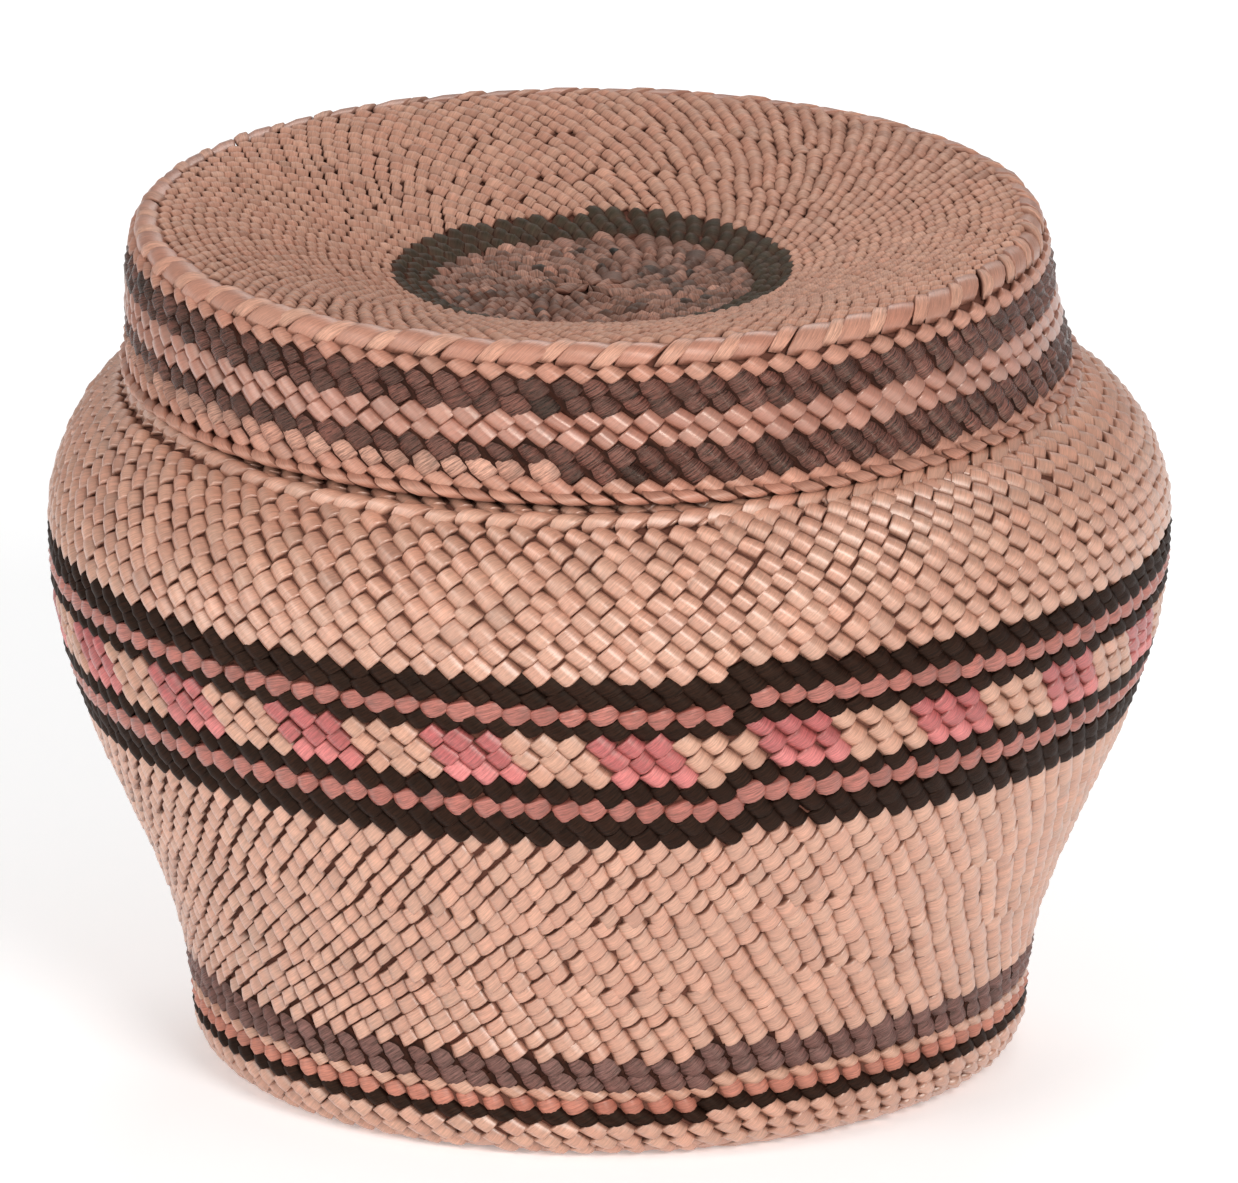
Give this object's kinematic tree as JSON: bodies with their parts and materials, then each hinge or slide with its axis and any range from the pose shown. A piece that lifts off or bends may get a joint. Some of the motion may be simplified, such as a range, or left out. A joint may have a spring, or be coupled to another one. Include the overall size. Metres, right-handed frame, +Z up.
{
  "type": "lidded basket",
  "caption": "Round twined basket with a flared striped wall, a narrow neck and a dished lift-off lid that slips over the neck",
  "frame": {"origin": "middle of the underside of the base, on the ground the basket stands on", "axes": "+Z up along the basket's own axis, +X to the right and +Y away from the viewer of the picture"},
  "size_m": [0.1216, 0.1216, 0.0934],
  "materials": {
    "natural_grass": "satin split grass strands",
    "lid_grass": "duller, handled grass strands",
    "copper_grass": "glossy coppery grass strands",
    "black_strand": "dyed strands, low sheen",
    "russet_strand": "dyed strands, satin",
    "rose_strand": "dyed strands, satin",
    "cream_strand": "pale satin strands, pink blocks in the check",
    "plum_strand": "dyed strands, low sheen",
    "brown_strand": "dyed fibrous strands",
    "dark_ring_strand": "greenish black strands",
    "bark": "split bark, matt"
  },
  "bodies": {
    "basket": {"base_start": "natural_grass", "base_disc": "natural_grass", "heel_twine": "natural_grass", "foot_natural_band": "natural_grass", "foot_black_course": "black_strand", "foot_russet_course": "russet_strand", "foot_cream_course": "cream_strand", "foot_plum_band": "plum_strand", "lower_wall_band": "natural_grass", "lower_black_band": "black_strand", "lower_rose_course": "rose_strand", "lower_black_course": "black_strand", "check_band": "cream_strand", "upper_black_course": "black_strand", "upper_rose_course": "rose_strand", "upper_black_band": "black_strand", "upper_wall_band": "natural_grass", "shoulder_braid": "natural_grass", "shoulder_inner_band": "natural_grass", "neck_collar": "natural_grass", "neck_rim": "natural_grass", "body_warps": "bark", "inner_weft": "bark"},
    "lid": {"lid_start": "brown_strand", "lid_centre_courses": "brown_strand", "lid_dark_ring": "dark_ring_strand", "lid_top_band": "lid_grass", "lid_edge_braid": "copper_grass", "lid_edge_course": "copper_grass", "lid_upper_brown_band": "brown_strand", "lid_copper_band": "copper_grass", "lid_lower_brown_band": "brown_strand", "lid_hem_course": "copper_grass", "lid_hem_braid": "copper_grass", "lid_warps": "bark", "lid_inner_weft": "bark"}
  },
  "joints": [
    {"name": "lid_lift", "type": "slide", "parent": "basket", "child": "lid", "axis": [0, 0, 1], "range_m": [0, 0.09]}
  ]
}
